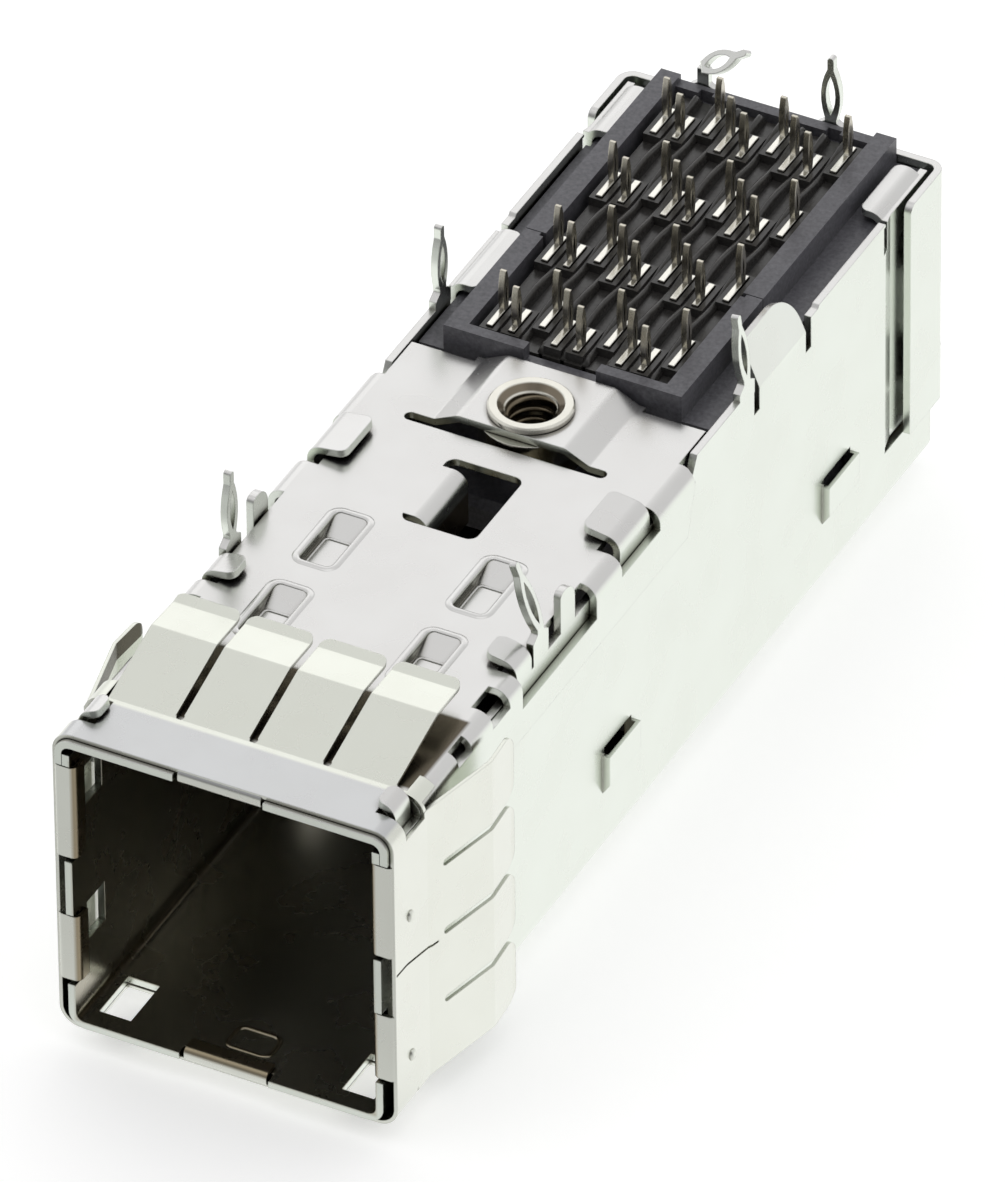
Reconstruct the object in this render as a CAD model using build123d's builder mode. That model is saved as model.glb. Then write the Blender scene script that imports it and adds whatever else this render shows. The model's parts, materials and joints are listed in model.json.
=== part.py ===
from build123d import *
from math import atan2, cos, radians, sin
import os

# Whole cage, in mm. It lies with its board side up, and its plug port opens towards -Y.
body_length = 38.25
body_width = 11.4
body_height = 11.1
sheet = 0.25
seam = 0.02
corner = 0.3

# Names that end in _at are distances towards the rear, from a line just behind the front rim.
rim_lead = 0.25
wall_end_at = 37.4
wall_low = 0.55
wall_raise = 0.1
wall_step_at = 20.75
wall_raise_at = 29.4

# Straps of the side walls that are folded over the base plate
strap_corner = 0.28
strap_slit = 0.38
strap_slit_depth = 1.05
front_strap = {"at": 1.33, "width": 0.95, "reach": 0.55, "lift": 0.1}
middle_strap = {"at": 9.35, "width": 1.0, "reach": 1.0, "lift": 0.18}
long_strap = {"at": 16.8, "width": 2.0, "reach": 1.22, "lift": 0.18}
housing_strap = {"at": 26.95, "width": 3.2, "reach": 0.85, "lift": 0}
rear_strap = {"at": 35.75, "width": 2.65, "reach": 0.8, "lift": 0}
low_strap = 0.05
open_strap_root = 0.35
open_strap_height = 1.65
open_strap_lean = 22
open_strap_round = 1.25

# Upright tabs beside the middle straps
upright_at = 12.28
upright_width = 0.95
upright_height = 0.95
tab_front_round = 0.2
tab_rear_round = 0.65

# Press-fit ground pins: half widths across the blade, heights above the base plate
pin_at = (10.48, 24.5)
pin_shoulder_half = 0.5
pin_shoulder = 0.28
pin_neck_half = 0.2
pin_neck = 0.48
pin_joint = 0.6
pin_eye_half = 0.335
pin_eye_mid = 1.45
pin_top_half = 0.11
pin_top = 2.5
pin_tip = 2.95
eye_half = 0.17
eye_low = 0.72
eye_high = 2.25
pin_lean = {(-1, 0): 0, (1, 0): 20, (-1, 1): 0, (1, 1): 7}

# Louvres pressed outwards from the side walls
louvre_at = (15.55, 30.75)
louvre_length = 2.1
louvre_top = 7.2
louvre_height = 1.5
louvre_slope = 0.4
louvre_slot = 0.22

# Joggle that sets the rear end of each side wall inwards
joggle_at = 34.15
joggle_run = 0.6
joggle_depth = 0.15
joggle_height = 8.95

# Rear cover
rear_flange_at = 35.4
rear_flange_height = 8.95
rear_notch_top = 4.4
rear_notch_height = 2.5
rear_notch_depth = 0.42
rear_pin_x = 1.7
bent_pin_x = -2.8
bent_pin_joint = 1.05
bent_pin_lean = 55
bent_pin_twist = 40

# Base plate with its side flanges
plate_end_at = 22.3
flange_end_at = 20.4
flange_depth = 2.3
side_notch_at = 20.9
side_notch_radius = 0.45
plate_side_gap = 0.06

# Pressed pockets in the base plate
pocket_x = 2.65
pocket_width = 1.2
pocket_length = 2.7
pocket_depth = 0.4
pocket_front_slope = 0.15
pocket_rear_slope = 0.95
pocket_round = 0.08
pocket_at = (8.25, 12.25)

# Window with its flap, long slot and raised pad in the base plate
window_left = -1.35
window_right = 1.25
window_front_at = 14.1
window_rear_at = 17.55
window_round = 0.33
flap_x = -0.6
flap_front_at = 14.4
flap_rear_at = 17.05
flap_radius = 0.4
flap_drop = 1.9
slot_at = 18.85
slot_length = 7.0
slot_width = 0.4
slot_x = -0.1
pad_foot = 2.67
pad_top = 1.85
pad_rise = 0.4
pad_end_at = 22.5

# Openings in the folded corners of the base plate: start, end, half width of the plate left
# between them, drop down the flange
corner_openings = (
    (0.75, 1.95, 4.8, 0.6),
    (4.5, 5.4, 5.3, 0.5),
    (6.75, 7.9, 4.95, 0.6),
    (8.72, 9.98, 4.82, 1.2),
    (9.98, 13.7, 5.12, 1.2),
    (15.4, 18.0, 4.82, 0.75),
)

# Threaded nut in the pad
nut_at = 20.4
nut_ring = 2.75
nut_ring_rise = 0.22
nut_dish = 2.15
nut_dish_depth = 0.25
nut_thread = 1.6
nut_shank = 2.5
nut_body = 3.3
nut_length = 2.0
nut_chamfer = 0.12

# Spring sheet round the front
gasket_sheet = 0.12
band_start = -0.08
band_end = 2.1
finger_count = 4
finger_pitch_across = 2.52
finger_pitch_down = 2.65
finger_slot = 0.26
finger_shift = -0.11
finger_skew = -0.2
finger_root_at = 1.3
corner_end_at = 2.95
crest_at = 5.1
crest_apex = 0.76
dip_at = 6.5
dip_level = 0.66
tip_at = 6.95
tip_level = 0.74
crease_radius = 0.2
tip_round = 0.35
across_root_at = 2.2
down_root_at = 2.95
down_tip_at = 6.65
down_tip_round = 0.5
hook_at = -0.16
hook_leg_at = 0.45
hook_radius = 0.17
hook_across = (-1.5, 1.35)
hook_down = ((1.1, 4.6), (6.9, 9.4))
hook_room = 0.12
rim_step = 0.4
joint_gap = 0.08
joint_path = ((0.0, 5.33), (0.7, 5.36), (2.3, 5.74), (3.0, 5.74))

# Windows behind the spring sheet
floor_window = (1.1, 1.9)
floor_window_x = 4.2
floor_window_at = 1.4
wall_window = (1.15, 1.5)
wall_window_at = 1.2
wall_window_drops = (2.35, 7.6)

# Moulded housings
housing_front_at = 22.7
housing_seam_at = 28.32
housing_seam = 0.04
housing_rear_at = 37.7
housing_gap = 0.06
housing_ledge = 0.3
frame_left = 4.25
frame_right = 4.05
frame_rise = 0.65
rail = 0.7
front_wall = 0.4
rear_wall = 0.4
rear_wall_drop = 0.2
housing_floor = 0.5
front_gap = (-1.44, 1.07)
front_gap_drop = 0.5
seam_notch = 0.3
rear_recess_width = 0.48
nose_front_at = 18.6
nose_half = 4.3
nose_top = 2.35
nose_bottom = 9.85
nose_round = 0.25
card_drops = (4.0, 7.6)
card_slot = 1.15
card_half = 3.75
card_depth = 3.9
groove_width = 0.3
groove_half = 1.0
groove_start_at = 19.0

# Wafers, and the contacts that lie in their grooves
column_count = 9
column_pitch = 0.75
row_count = 4
row_pitch = 3.75
first_row_at = 23.83
contact_sheet = 0.2
contact_room = 0.03
wafer_back = 0.2
wafer_room = 0.1
wafer_rise = 0.2
boss_rise = 0.52
boss_edge = 0.12
leg_offset = 0.6
leg_width = 0.32
leg_bevel = 0.6
beam_offset = 0.7
beam_width = 0.22
beam_dip = 0.2
beam_tip_at = 19.25
beam_crown_at = 19.75
beam_rise_at = 20.6
shoulder_rise = 0.6
needle_neck_half = 0.12
needle_half = 0.18
needle_tip_half = 0.05
needle_tip = 2.05
needle_mid = 1.2
needle_eye = 0.1
needle_eye_low = 0.8
needle_eye_high = 1.55
dot_length = 0.2

# The three kinds of contact: shoulder offset, shoulder length, needle offset from the shoulder
contact_kinds = (
    (0.0, 0.85, 0.56),
    (0.48, 0.65, -0.5),
    (0.64, 0.8, 0.66),
)

front_y = rim_lead - body_length / 2
rim_y = -body_length / 2
rear_y = body_length / 2

# Spring sheet's middle line over the cage, and how far its rounded crests stand out
band_level = seam + gasket_sheet / 2
rise = atan2(crest_apex - band_level, crest_at - band_end)
fall = atan2(crest_apex - dip_level, dip_at - crest_at)
crest_cut = crease_radius * (cos((rise - fall) / 2) / cos((rise + fall) / 2) - 1)
crest_height = crest_apex - crest_cut + gasket_sheet / 2

far_z = crest_height
plate_z = far_z + body_height
side_x = body_width / 2
wall_face = side_x - sheet - seam
wall_mid = wall_face - sheet / 2
wall_inner = wall_face - sheet
fold = corner + sheet / 2
column_x = [(column - (column_count - 1) / 2) * column_pitch for column in range(column_count)]


def along(distance):
    return front_y + distance


def cross_plane(distance):
    return Plane.XZ.offset(-along(distance))


def side_plane(x):
    return Plane.YZ.offset(x)


# A strip of sheet bent along a line of points, centred on the plane it is drawn on
def bent_strip(plane, points, radius, width, thickness=sheet):
    with BuildPart() as strip:
        with BuildSketch(plane):
            with BuildLine():
                FilletPolyline(*points, radius=radius)
            trace(line_width=thickness)
        extrude(amount=width / 2, both=True)
    return strip.part


# A strap that rises from a side wall and is folded inwards, with a rounded free end
def folded_strap(side, root_x, shape, rise):
    fold_z = plate_z + rise + sheet / 2
    points = (
        (side * root_x, plate_z - wall_low - sheet),
        (side * root_x, fold_z),
        (side * (root_x - shape["reach"]), fold_z + shape["lift"]),
    )
    with BuildPart() as strap:
        add(bent_strip(cross_plane(shape["at"]), points, fold, shape["width"]))
        tip = strap.faces().sort_by(Axis.X)[0 if side > 0 else -1]
        fillet(tip.edges().filter_by(Axis.Y, reverse=True), strap_corner)
    return strap.part


# A plane that stands on a side wall and leans inwards by an angle
def leaning_plane(side, at, height, lean):
    up = Vector(-side * sin(radians(lean)), 0, cos(radians(lean)))
    across = Vector(0, 1, 0)
    return Plane((side * wall_mid, along(at), plate_z + height), x_dir=across, z_dir=across.cross(up))


# A press-fit pin: a foot that belongs to the wall, and a head with its eye on a second plane
def press_pin(foot_plane, head_plane, joint, root):
    with BuildPart() as pin:
        with BuildSketch(foot_plane):
            with BuildLine():
                Polyline(
                    (0, -root),
                    (pin_shoulder_half, -root),
                    (pin_shoulder_half, pin_shoulder),
                    (pin_neck_half, pin_neck),
                    (pin_neck_half, joint),
                    (0, joint),
                )
                mirror(about=Plane.YZ)
            make_face()
        extrude(amount=sheet / 2, both=True)
        with BuildSketch(head_plane):
            with BuildLine():
                Line((0, 0), (pin_neck_half, 0))
                ThreePointArc(
                    (pin_neck_half, 0),
                    (pin_eye_half, pin_eye_mid - joint),
                    (pin_top_half, pin_top - joint),
                )
                Line((pin_top_half, pin_top - joint), (pin_top_half, pin_tip - joint - pin_top_half))
                RadiusArc(
                    (pin_top_half, pin_tip - joint - pin_top_half),
                    (0, pin_tip - joint),
                    -pin_top_half,
                )
                mirror(about=Plane.YZ)
            make_face()
            eye_start = max(eye_low - joint, pin_neck_half / 2)
            with BuildLine():
                ThreePointArc((0, eye_start), (eye_half, pin_eye_mid - joint), (0, eye_high - joint))
                mirror(about=Plane.YZ)
            make_face(mode=Mode.SUBTRACT)
        extrude(amount=sheet / 2, both=True)
        with Locations(head_plane * Rotation(0, 90, 0)):
            Cylinder(sheet / 2, 2 * pin_neck_half)
    return pin.part


# Cage: far wall and both side walls from one sheet
with BuildPart() as cage_body:
    with BuildSketch(cross_plane(-rim_lead)):
        with BuildLine():
            FilletPolyline(
                (-wall_mid, plate_z + wall_raise),
                (-wall_mid, far_z + sheet / 2),
                (wall_mid, far_z + sheet / 2),
                (wall_mid, plate_z + wall_raise),
                radius=fold,
            )
        trace(line_width=sheet)
    extrude(amount=-wall_end_at - rim_lead)
    # Steps in the top edge of the side walls
    with BuildSketch(side_plane(-side_x)):
        with BuildLine():
            Polyline(
                (along(-1), plate_z + 1),
                (along(-1), plate_z - wall_low),
                (along(wall_step_at), plate_z - wall_low),
                (along(wall_step_at + 0.3), plate_z),
                (along(wall_raise_at), plate_z),
                (along(wall_raise_at + wall_raise), plate_z + wall_raise),
                (along(joggle_at), plate_z + wall_raise),
                (along(joggle_at), plate_z - joggle_height),
                (along(wall_end_at + 1), plate_z - joggle_height),
                (along(wall_end_at + 1), plate_z + 1),
                close=True,
            )
        make_face()
    extrude(amount=body_width, mode=Mode.SUBTRACT)
    # Slits beside the housing straps
    for end in (-1, 1):
        slit_at = housing_strap["at"] + end * (housing_strap["width"] + strap_slit) / 2
        with Locations((0, along(slit_at), plate_z - strap_slit_depth / 2)):
            Box(body_width, strap_slit, strap_slit_depth + 2 * wall_raise, mode=Mode.SUBTRACT)
    for side in (-1, 1):
        # Rear end of the wall, set inwards
        inset = wall_mid - joggle_depth
        wall_line = (
            (side * wall_mid, along(joggle_at - sheet)),
            (side * wall_mid, along(joggle_at)),
            (side * inset, along(joggle_at + joggle_run)),
            (side * inset, along(wall_end_at)),
        )
        joggle_mid = Plane.XY.offset(plate_z - joggle_height / 2 + louvre_slot / 2)
        add(bent_strip(joggle_mid, wall_line, corner, joggle_height - louvre_slot))
        slit_at = rear_strap["at"] - (rear_strap["width"] + strap_slit) / 2
        with Locations((side * inset, along(slit_at), plate_z - strap_slit_depth / 2)):
            Box(4 * sheet, strap_slit, strap_slit_depth, mode=Mode.SUBTRACT)
        # Straps folded over the base plate and beside the housing
        add(folded_strap(side, wall_mid, front_strap, 2 * seam + gasket_sheet))
        add(folded_strap(side, wall_mid, middle_strap, seam))
        add(folded_strap(side, wall_mid, long_strap, seam))
        add(folded_strap(side, inset, rear_strap, -low_strap))
        # Roots of the upright tabs and of the pins in the low part of the wall
        for root_at, root_width, top in (
            (upright_at, upright_width, upright_height),
            (pin_at[0], 2 * pin_shoulder_half, 0),
        ):
            root_height = wall_low + sheet + top
            with Locations((side * wall_mid, along(root_at), plate_z + top - root_height / 2)):
                Box(sheet, root_width, root_height)
        tab_top = edges().filter_by(Axis.X).filter_by(lambda e: abs(e.center().Z - plate_z - upright_height) < seam)
        tab_ends = tab_top.filter_by(lambda e: e.center().X * side > 0).sort_by(Axis.Y)
        fillet(tab_ends[0], tab_front_round)
        fillet(edges().filter_by(Axis.X).sort_by_distance(tab_ends[1].center())[0], tab_rear_round)
        for number, distance in enumerate(pin_at):
            foot = leaning_plane(side, distance, 0, 0)
            head = leaning_plane(side, distance, pin_joint, pin_lean[side, number])
            add(press_pin(foot, head, pin_joint, sheet))
        # Louvres: pushed out at the top edge, closed at the bottom and at both ends
        for distance in louvre_at:
            lip_z = plate_z - louvre_top
            low_z = lip_z - louvre_height
            with BuildSketch(cross_plane(distance)):
                with BuildLine():
                    Polyline(
                        (side * wall_mid, low_z),
                        (side * wall_face, low_z),
                        (side * side_x, low_z + louvre_slope),
                        (side * side_x, lip_z),
                        (side * wall_mid, lip_z),
                        close=True,
                    )
                make_face()
            extrude(amount=louvre_length / 2, both=True)
            with BuildSketch(cross_plane(distance)):
                with BuildLine():
                    Polyline(
                        (side * (wall_inner - sheet), low_z),
                        (side * wall_inner, low_z),
                        (side * (side_x - sheet / 2), low_z + louvre_slope + sheet / 2),
                        (side * (side_x - sheet / 2), lip_z + louvre_slot),
                        (side * (wall_inner - sheet), lip_z + louvre_slot),
                        close=True,
                    )
                make_face()
            extrude(amount=louvre_length / 2 - sheet / 2, both=True, mode=Mode.SUBTRACT)
    add(folded_strap(-1, wall_mid, housing_strap, -low_strap))
    with Locations((wall_mid, along(housing_strap["at"]), plate_z + body_width - open_strap_root)):
        Box(2 * sheet, housing_strap["width"], 2 * body_width, mode=Mode.SUBTRACT)
    # The right housing strap was never folded down: it leans over the housing
    with BuildSketch(leaning_plane(1, housing_strap["at"], -open_strap_root, open_strap_lean)):
        with Locations((0, open_strap_height / 2)):
            Rectangle(housing_strap["width"], open_strap_height)
        far_corner = vertices().group_by(Axis.Y)[-1].sort_by(Axis.X)[-1]
        fillet(far_corner, open_strap_round)
    extrude(amount=sheet / 2, both=True)
    with Locations(leaning_plane(1, housing_strap["at"], -open_strap_root, 0) * Rotation(0, 90, 0)):
        Cylinder(sheet / 2, housing_strap["width"])
    # Rim set back for the hooks of the spring sheet
    hook_mid = sum(hook_across) / 2
    hook_span = hook_across[1] - hook_across[0] + 2 * hook_room
    with Locations((hook_mid, rim_y, far_z)):
        Box(hook_span, 2 * rim_step, 4 * sheet, mode=Mode.SUBTRACT)
    for top, bottom in hook_down:
        with Locations((0, rim_y, plate_z - (top + bottom) / 2)):
            Box(body_width, 2 * rim_step, bottom - top + 2 * hook_room, mode=Mode.SUBTRACT)
    # Windows behind the spring sheet
    with Locations(*[(x, along(floor_window_at), far_z) for x in (-floor_window_x, floor_window_x)]):
        Box(floor_window[0], floor_window[1], 4 * sheet, mode=Mode.SUBTRACT)
    with Locations(*[(0, along(wall_window_at), plate_z - drop) for drop in wall_window_drops]):
        Box(body_width, wall_window[0], wall_window[1], mode=Mode.SUBTRACT)
cage_body.part.label = "cage_body"

# Base plate on the board side, with a flange down each side
with BuildPart() as board_plate:
    with BuildSketch(cross_plane(-rim_lead)):
        with BuildLine():
            FilletPolyline(
                (-side_x + sheet / 2, plate_z - flange_depth),
                (-side_x + sheet / 2, plate_z - sheet / 2),
                (side_x - sheet / 2, plate_z - sheet / 2),
                (side_x - sheet / 2, plate_z - flange_depth),
                radius=fold,
            )
        trace(line_width=sheet)
    extrude(amount=-rim_lead - flange_end_at)
    # Sloping rear ends of the flanges
    with BuildSketch(side_plane(-side_x - sheet)):
        with BuildLine():
            Polyline(
                (along(flange_end_at), plate_z - flange_depth),
                (along(flange_end_at), plate_z - wall_low),
                (along(flange_end_at) - wall_low, plate_z - flange_depth),
                close=True,
            )
        make_face()
    extrude(amount=body_width + 2 * sheet, mode=Mode.SUBTRACT)
    with BuildSketch(Plane.XY.offset(plate_z - sheet)):
        with Locations((0, along((flange_end_at + plate_end_at) / 2))):
            Rectangle(2 * (wall_inner - plate_side_gap), plate_end_at - flange_end_at)
    extrude(amount=sheet)
    with BuildSketch(Plane.XY.offset(plate_z - 2 * sheet)):
        with Locations(*[(x, along(side_notch_at)) for x in (-side_x + seam, side_x - seam)]):
            Circle(side_notch_radius + 0.1)
    extrude(amount=4 * sheet, mode=Mode.SUBTRACT)
    # Pockets: a pressed lump below the sheet, then its hollow
    hollow_line = (
        (-pocket_length / 2, 0),
        (-pocket_length / 2 + pocket_front_slope, -pocket_depth),
        (pocket_length / 2 - pocket_rear_slope, -pocket_depth),
        (pocket_length / 2, 0),
    )
    for x in (-pocket_x, pocket_x):
        for distance in pocket_at:
            for low, mode, width in (
                (sheet, Mode.ADD, pocket_width + 2 * sheet),
                (0, Mode.SUBTRACT, pocket_width),
            ):
                pocket_plane = Plane((x, along(distance), plate_z - low), x_dir=(0, 1, 0), z_dir=(1, 0, 0))
                grown = (pocket_length + 2 * low) / pocket_length
                with BuildSketch(pocket_plane):
                    with BuildLine():
                        Polyline(*[(grown * y, z) for y, z in hollow_line], close=True)
                    make_face()
                extrude(amount=width / 2, both=True, mode=mode)
    mouths = board_plate.edges().group_by(Axis.Z)[-1].filter_by(lambda e: abs(e.center().X) < pocket_x + pocket_width)
    fillet(mouths.filter_by(lambda e: along(pocket_at[0] - pocket_length) < e.center().Y), pocket_round)
    # Window, and the flap that is bent down from its left edge
    window_mid = ((window_left + window_right) / 2, along((window_front_at + window_rear_at) / 2))
    with BuildSketch(Plane.XY.offset(plate_z - 2 * sheet)):
        with Locations(window_mid):
            RectangleRounded(window_right - window_left, window_rear_at - window_front_at, window_round)
    extrude(amount=4 * sheet, mode=Mode.SUBTRACT)
    flap_line = (
        (window_left - sheet, plate_z - sheet / 2),
        (flap_x, plate_z - sheet / 2),
        (flap_x, plate_z - flap_drop),
    )
    flap_mid = cross_plane((flap_front_at + flap_rear_at) / 2)
    add(bent_strip(flap_mid, flap_line, flap_radius, flap_rear_at - flap_front_at))
    # Long slot, and the pad raised behind it
    with BuildSketch(Plane.XY.offset(plate_z - 2 * sheet)):
        with Locations((slot_x, along(slot_at))):
            SlotOverall(slot_length, slot_width)
        pad_start_at = slot_at + slot_width / 2
        with Locations((0, along((pad_start_at + pad_end_at) / 2))):
            Rectangle(2 * pad_foot, pad_end_at - pad_start_at)
    extrude(amount=4 * sheet, mode=Mode.SUBTRACT)
    pad_line = (
        (-pad_foot - sheet, plate_z - sheet / 2),
        (-pad_foot, plate_z - sheet / 2),
        (-pad_top, plate_z - sheet / 2 + pad_rise),
        (pad_top, plate_z - sheet / 2 + pad_rise),
        (pad_foot, plate_z - sheet / 2),
        (pad_foot + sheet, plate_z - sheet / 2),
    )
    pad_mid = cross_plane((pad_start_at + pad_end_at) / 2)
    add(bent_strip(pad_mid, pad_line, corner, pad_end_at - pad_start_at))
    with BuildSketch(Plane.XY.offset(plate_z - sheet)):
        with Locations((0, along(nut_at))):
            Circle(nut_shank / 2 + seam)
    extrude(amount=2 * sheet + pad_rise, mode=Mode.SUBTRACT)
    # Openings in the folded corners
    for start, end, half, drop in corner_openings:
        reach = side_x - half
        for side in (-1, 1):
            with Locations((side * (half + reach), along((start + end) / 2), plate_z)):
                Box(2 * reach, end - start, 2 * drop, mode=Mode.SUBTRACT)
    # Rim set back for the hooks, and windows behind the spring sheet
    with Locations((hook_mid, rim_y, plate_z)):
        Box(hook_span, 2 * rim_step, 4 * sheet, mode=Mode.SUBTRACT)
    with Locations((0, rim_y, plate_z - (hook_down[0][0] + hook_down[0][1]) / 2)):
        hook_depth = hook_down[0][1] - hook_down[0][0] + 2 * hook_room
        Box(2 * side_x + sheet, 2 * rim_step, hook_depth, mode=Mode.SUBTRACT)
    with Locations((0, along(wall_window_at), plate_z - wall_window_drops[0])):
        Box(2 * side_x + sheet, wall_window[0], wall_window[1], mode=Mode.SUBTRACT)
board_plate.part.label = "board_plate"

# Rear cover: back wall with a flange round each side, and two pins that rise from its top edge
with BuildPart() as rear_cover:
    back_z = rear_y - sheet / 2
    with BuildSketch(Plane.XY.offset(far_z)):
        with BuildLine():
            FilletPolyline(
                (-side_x + sheet / 2, along(rear_flange_at)),
                (-side_x + sheet / 2, back_z),
                (side_x - sheet / 2, back_z),
                (side_x - sheet / 2, along(rear_flange_at)),
                radius=fold,
            )
        trace(line_width=sheet)
    extrude(amount=body_height)
    skirt = body_height - rear_flange_height
    for side in (-1, 1):
        # Below the flanges only the flat of the back wall goes down to the far wall
        with Locations((side * side_x, along(body_length), far_z + skirt / 2)):
            Box(4 * fold, 2 * (body_length - rear_flange_at), skirt, mode=Mode.SUBTRACT)
        notch_z = plate_z - rear_notch_top - rear_notch_height / 2
        with Locations((side * side_x, rear_y, notch_z)):
            Box(4 * fold, 2 * rear_notch_depth, rear_notch_height, mode=Mode.SUBTRACT)
    tops = rear_cover.edges().filter_by(Axis.X).filter_by(lambda e: e.length < 2 * sheet)
    front_tops = tops.group_by(Axis.Z)[-1].filter_by(lambda e: e.center().Y < along(rear_flange_at + sheet))
    fillet(front_tops, corner)
    for pin_x, joint, lean, twist in (
        (rear_pin_x, pin_joint, 0, 0),
        (bent_pin_x, bent_pin_joint, bent_pin_lean, bent_pin_twist),
    ):
        up = Vector(sin(radians(lean)), 0, cos(radians(lean)))
        across = Vector(cos(radians(lean)), 0, -sin(radians(lean)))
        normal = Vector(0, -1, 0) * cos(radians(twist)) - across * sin(radians(twist))
        foot = Plane((pin_x, back_z, plate_z), x_dir=(1, 0, 0), z_dir=(0, -1, 0))
        head = Plane((pin_x, back_z, plate_z + joint), x_dir=up.cross(normal), z_dir=normal)
        add(press_pin(foot, head, joint, sheet))
rear_cover.part.label = "rear_cover"

# Threaded nut: dished ring above the pad, shank through it, body below
with BuildPart() as threaded_nut:
    pad_z = plate_z + pad_rise
    with BuildSketch(Plane.XZ.offset(-along(nut_at))):
        with BuildLine():
            ring_z = pad_z + nut_ring_rise
            under_z = pad_z - sheet - seam
            Polyline(
                (nut_thread / 2, ring_z - nut_length),
                (nut_body / 2 - nut_chamfer, ring_z - nut_length),
                (nut_body / 2, ring_z - nut_length + nut_chamfer),
                (nut_body / 2, under_z),
                (nut_shank / 2, under_z),
                (nut_shank / 2, pad_z + seam),
                (nut_ring / 2, pad_z + seam),
                (nut_ring / 2, ring_z - nut_chamfer / 2),
                (nut_ring / 2 - nut_chamfer / 2, ring_z),
                (nut_dish / 2, ring_z),
                (nut_thread / 2, ring_z - nut_dish_depth),
                close=True,
            )
        make_face()
    revolve(axis=Axis((0, along(nut_at), 0), (0, 0, 1)))
threaded_nut.part.label = "threaded_nut"


# A row of spring fingers on the plane Z = 0, which stands for the outer face of the cage:
# a ramp up to the crest, a strip that falls a little, and a toe turned up again
def finger_row(pitch, skew, root_at, end_at, end_round):
    with BuildPart() as row:
        with BuildSketch(Plane.YZ):
            with BuildLine():
                FilletPolyline(
                    (along(finger_root_at), band_level),
                    (along(band_end), band_level),
                    (along(crest_at), crest_apex),
                    (along(dip_at), dip_level),
                    (along(tip_at), tip_level),
                    radius=crease_radius,
                )
            trace(line_width=gasket_sheet)
        extrude(amount=finger_count * pitch / 2, both=True)
        with BuildSketch(Plane.XY):
            half = (pitch - finger_slot) / 2
            for number in range(finger_count):
                middle = (number - (finger_count - 1) / 2) * pitch
                with BuildLine():
                    Polyline(
                        (middle - half, along(finger_root_at)),
                        (middle + half, along(finger_root_at)),
                        (middle + half + skew, along(end_at)),
                        (middle - half + skew, along(end_at)),
                        close=True,
                    )
                make_face()
            fillet(vertices().group_by(Axis.Y)[-1], end_round)
            # Sheet before the slots, with their rounded roots
            with Locations((0, along((finger_root_at + root_at) / 2))):
                Rectangle(finger_count * pitch - finger_slot, root_at - finger_root_at)
            with Locations((0, along(root_at))):
                with GridLocations(pitch, 1, finger_count - 1, 1):
                    Circle(finger_slot / 2, mode=Mode.SUBTRACT)
        extrude(amount=2 * crest_height, mode=Mode.INTERSECT)
    return row.part


# Spring sheet: a band round the front, sixteen fingers, and hooks folded round the rim
with BuildPart() as emi_gasket:
    mid_z = (far_z + plate_z) / 2
    inner_half = side_x + seam
    with BuildSketch(cross_plane(band_start)):
        with Locations((0, mid_z)):
            RectangleRounded(
                2 * (inner_half + gasket_sheet),
                body_height + 2 * (seam + gasket_sheet),
                corner + sheet + seam + gasket_sheet,
            )
            RectangleRounded(
                2 * inner_half, body_height + 2 * seam, corner + sheet + seam, mode=Mode.SUBTRACT
            )
    extrude(amount=band_start - corner_end_at)
    # Only the corners of the band reach between the rows of fingers
    corner_room = corner_end_at - band_end
    with Locations((0, along(band_end + corner_room / 2), mid_z)):
        Box(
            finger_count * finger_pitch_across + finger_slot,
            corner_room,
            2 * body_height,
            mode=Mode.SUBTRACT,
        )
        Box(
            2 * body_width,
            corner_room,
            finger_count * finger_pitch_down + finger_slot,
            mode=Mode.SUBTRACT,
        )
    across_row = finger_row(finger_pitch_across, finger_skew, across_root_at, tip_at, tip_round)
    down_row = finger_row(finger_pitch_down, 0, down_root_at, down_tip_at, down_tip_round)
    with Locations(Location((finger_shift, 0, plate_z)), Location((finger_shift, 0, far_z), (0, 180, 0))):
        add(across_row)
    with Locations(Location((side_x, 0, mid_z), (0, 90, 0)), Location((-side_x, 0, mid_z), (0, -90, 0))):
        add(down_row)
    # Hooks
    hook_end = along(finger_root_at)
    hook_front = along(hook_at) + gasket_sheet / 2
    for z, out in ((plate_z, 1), (far_z, -1)):
        hook_line = (
            (hook_end, z + out * band_level),
            (hook_front, z + out * band_level),
            (hook_front, z - out * (sheet + band_level)),
            (along(hook_leg_at), z - out * (sheet + band_level)),
        )
        add(bent_strip(side_plane(hook_mid), hook_line, hook_radius,
                       hook_across[1] - hook_across[0], gasket_sheet))
    for side in (-1, 1):
        for top, bottom in hook_down:
            hook_line = (
                (side * (side_x + band_level), hook_end),
                (side * (side_x + band_level), hook_front),
                (side * (wall_inner - band_level), hook_front),
                (side * (wall_inner - band_level), along(hook_leg_at)),
            )
            hook_plane = Plane.XY.offset(plate_z - (top + bottom) / 2)
            add(bent_strip(hook_plane, hook_line, hook_radius, bottom - top, gasket_sheet))
    # Corners open for the front straps
    start, end, half, drop = corner_openings[0]
    for side in (-1, 1):
        with Locations((side * side_x, along((start + end) / 2), plate_z)):
            Box(2 * (side_x - half), end - start, 2 * drop, mode=Mode.SUBTRACT)
    # Windows, and the stepped joint of the rolled sheet on the right
    with Locations(*[(x, along(floor_window_at), far_z) for x in (-floor_window_x, floor_window_x)]):
        Box(floor_window[0], floor_window[1], 4 * sheet, mode=Mode.SUBTRACT)
    with BuildSketch(side_plane(side_x)):
        with BuildLine():
            Polyline(*[(along(at), plate_z - drop) for at, drop in joint_path])
        trace(line_width=joint_gap)
    extrude(amount=2 * gasket_sheet, mode=Mode.SUBTRACT)
emi_gasket.part.label = "emi_gasket"

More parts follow.
